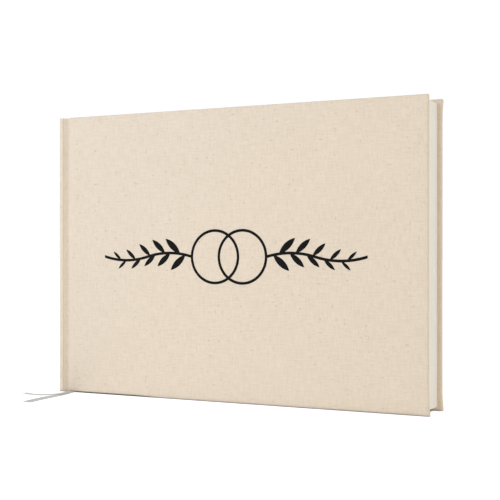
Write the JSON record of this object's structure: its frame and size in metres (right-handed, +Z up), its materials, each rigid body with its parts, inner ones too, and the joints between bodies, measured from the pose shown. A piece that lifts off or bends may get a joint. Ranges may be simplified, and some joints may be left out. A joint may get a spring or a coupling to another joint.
{
  "type": "wedding guest book",
  "caption": "Landscape hardcover guest book standing closed on its tail edge, with natural cotton cloth covers, a leafy linked-ring print, sewn pages and ribbon markers.",
  "frame": {"origin": "on the table under the middle of the closed book, without its free ribbon ends", "axes": "+X from the spine to the fore edge, the front cover faces -Y, +Z up from the tail edge to the head"},
  "size_m": [0.2828, 0.0873, 0.1905],
  "materials": {
    "cover_cloth": "matte unbleached cotton canvas with seed flecks",
    "board": "grey-brown binder's board",
    "page": "uncoated off-white",
    "endpaper": "uncoated off-white, heavier",
    "print": "black foil print on cloth",
    "ribbon": "ivory satin",
    "thread": "waxed linen thread",
    "end_band": "woven band, cream",
    "mull": "open gauze",
    "lining": "brown kraft"
  },
  "bodies": {
    "root": {"spine_board": "board", "spine_cloth": "cover_cloth", "spine_mull": "mull", "spine_lining": "lining", "sewing_thread": "thread", "headband": "end_band", "tailband": "end_band", "ribbon_1_inner": "ribbon", "ribbon_2_inner": "ribbon", "ribbon_1_tail": "ribbon", "ribbon_2_tail": "ribbon"},
    "front_cover": {"front_board": "board", "front_cover_cloth": "cover_cloth", "front_pastedown": "endpaper", "cover_ornament": "print"},
    "rear_cover": {"rear_board": "board", "rear_cover_cloth": "cover_cloth", "rear_pastedown": "endpaper"},
    "front_flyleaf": {"front_flyleaf": "endpaper"},
    "front_leaf_1": {"front_leaf_1": "page"},
    "front_leaf_2": {"front_leaf_2": "page"},
    "front_leaf_3": {"front_leaf_3": "page"},
    "front_leaf_4": {"front_leaf_4": "page"},
    "rear_flyleaf": {"rear_flyleaf": "endpaper"},
    "rear_leaf_1": {"rear_leaf_1": "page"},
    "rear_leaf_2": {"rear_leaf_2": "page"},
    "rear_leaf_3": {"rear_leaf_3": "page"},
    "rear_leaf_4": {"rear_leaf_4": "page"},
    "section_1": {"section_1": "page"},
    "section_2": {"section_2": "page"},
    "section_3": {"section_3": "page"},
    "section_4": {"section_4": "page"},
    "section_5": {"section_5": "page"},
    "section_6": {"section_6": "page"},
    "section_7": {"section_7": "page"},
    "section_8": {"section_8": "page"}
  },
  "joints": [
    {"name": "front_cover_hinge", "type": "hinge", "parent": "root", "child": "front_cover", "pos_m": [-0.1286, -0.0145, 0.09525], "axis": [0, 0, -1], "range_deg": [0, 180]},
    {"name": "rear_cover_hinge", "type": "hinge", "parent": "root", "child": "rear_cover", "pos_m": [-0.1286, 0.0145, 0.09525], "axis": [0, 0, 1], "range_deg": [0, 180]},
    {"name": "front_flyleaf_turn", "type": "hinge", "parent": "root", "child": "front_flyleaf", "pos_m": [-0.1286, -0.0145, 0.09525], "axis": [0, 0, -1], "range_deg": [0, 165.6]},
    {"name": "front_leaf_1_turn", "type": "hinge", "parent": "root", "child": "front_leaf_1", "pos_m": [-0.1286, -0.0145, 0.09525], "axis": [0, 0, -1], "range_deg": [0, 138.6]},
    {"name": "front_leaf_2_turn", "type": "hinge", "parent": "root", "child": "front_leaf_2", "pos_m": [-0.1286, -0.0145, 0.09525], "axis": [0, 0, -1], "range_deg": [0, 111.6]},
    {"name": "front_leaf_3_turn", "type": "hinge", "parent": "root", "child": "front_leaf_3", "pos_m": [-0.1286, -0.0145, 0.09525], "axis": [0, 0, -1], "range_deg": [0, 84.6]},
    {"name": "front_leaf_4_turn", "type": "hinge", "parent": "root", "child": "front_leaf_4", "pos_m": [-0.1286, -0.0145, 0.09525], "axis": [0, 0, -1], "range_deg": [0, 59.4]},
    {"name": "rear_flyleaf_turn", "type": "hinge", "parent": "root", "child": "rear_flyleaf", "pos_m": [-0.1286, 0.0145, 0.09525], "axis": [0, 0, 1], "range_deg": [0, 165.6]},
    {"name": "rear_leaf_1_turn", "type": "hinge", "parent": "root", "child": "rear_leaf_1", "pos_m": [-0.1286, 0.0145, 0.09525], "axis": [0, 0, 1], "range_deg": [0, 138.6]},
    {"name": "rear_leaf_2_turn", "type": "hinge", "parent": "root", "child": "rear_leaf_2", "pos_m": [-0.1286, 0.0145, 0.09525], "axis": [0, 0, 1], "range_deg": [0, 111.6]},
    {"name": "rear_leaf_3_turn", "type": "hinge", "parent": "root", "child": "rear_leaf_3", "pos_m": [-0.1286, 0.0145, 0.09525], "axis": [0, 0, 1], "range_deg": [0, 84.6]},
    {"name": "rear_leaf_4_turn", "type": "hinge", "parent": "root", "child": "rear_leaf_4", "pos_m": [-0.1286, 0.0145, 0.09525], "axis": [0, 0, 1], "range_deg": [0, 59.4]},
    {"name": "section_1_turn", "type": "hinge", "parent": "root", "child": "section_1", "pos_m": [-0.12971, -0.00907, 0.09525], "axis": [0, 0, -1], "range_deg": [0, 39.6]},
    {"name": "section_2_turn", "type": "hinge", "parent": "root", "child": "section_2", "pos_m": [-0.12971, -0.00658, 0.09525], "axis": [0, 0, -1], "range_deg": [0, 29.7]},
    {"name": "section_3_turn", "type": "hinge", "parent": "root", "child": "section_3", "pos_m": [-0.12971, -0.00407, 0.09525], "axis": [0, 0, -1], "range_deg": [0, 19.8]},
    {"name": "section_4_turn", "type": "hinge", "parent": "root", "child": "section_4", "pos_m": [-0.12971, -0.00158, 0.09525], "axis": [0, 0, -1], "range_deg": [0, 9.9]},
    {"name": "section_5_turn", "type": "hinge", "parent": "root", "child": "section_5", "pos_m": [-0.12971, 0.00158, 0.09525], "axis": [0, 0, 1], "range_deg": [0, 9.9]},
    {"name": "section_6_turn", "type": "hinge", "parent": "root", "child": "section_6", "pos_m": [-0.12971, 0.00407, 0.09525], "axis": [0, 0, 1], "range_deg": [0, 19.8]},
    {"name": "section_7_turn", "type": "hinge", "parent": "root", "child": "section_7", "pos_m": [-0.12971, 0.00658, 0.09525], "axis": [0, 0, 1], "range_deg": [0, 29.7]},
    {"name": "section_8_turn", "type": "hinge", "parent": "root", "child": "section_8", "pos_m": [-0.12971, 0.00907, 0.09525], "axis": [0, 0, 1], "range_deg": [0, 39.6]}
  ],
  "couplings": [
    {"joint": "front_flyleaf_turn", "follows": "front_cover_hinge", "ratio": 0.92},
    {"joint": "front_leaf_1_turn", "follows": "front_cover_hinge", "ratio": 0.77},
    {"joint": "front_leaf_2_turn", "follows": "front_cover_hinge", "ratio": 0.62},
    {"joint": "front_leaf_3_turn", "follows": "front_cover_hinge", "ratio": 0.47},
    {"joint": "front_leaf_4_turn", "follows": "front_cover_hinge", "ratio": 0.33},
    {"joint": "rear_flyleaf_turn", "follows": "rear_cover_hinge", "ratio": 0.92},
    {"joint": "rear_leaf_1_turn", "follows": "rear_cover_hinge", "ratio": 0.77},
    {"joint": "rear_leaf_2_turn", "follows": "rear_cover_hinge", "ratio": 0.62},
    {"joint": "rear_leaf_3_turn", "follows": "rear_cover_hinge", "ratio": 0.47},
    {"joint": "rear_leaf_4_turn", "follows": "rear_cover_hinge", "ratio": 0.33},
    {"joint": "section_1_turn", "follows": "front_cover_hinge", "ratio": 0.22},
    {"joint": "section_2_turn", "follows": "front_cover_hinge", "ratio": 0.165},
    {"joint": "section_3_turn", "follows": "front_cover_hinge", "ratio": 0.11},
    {"joint": "section_4_turn", "follows": "front_cover_hinge", "ratio": 0.055},
    {"joint": "section_5_turn", "follows": "rear_cover_hinge", "ratio": 0.055},
    {"joint": "section_6_turn", "follows": "rear_cover_hinge", "ratio": 0.11},
    {"joint": "section_7_turn", "follows": "rear_cover_hinge", "ratio": 0.165},
    {"joint": "section_8_turn", "follows": "rear_cover_hinge", "ratio": 0.22}
  ]
}
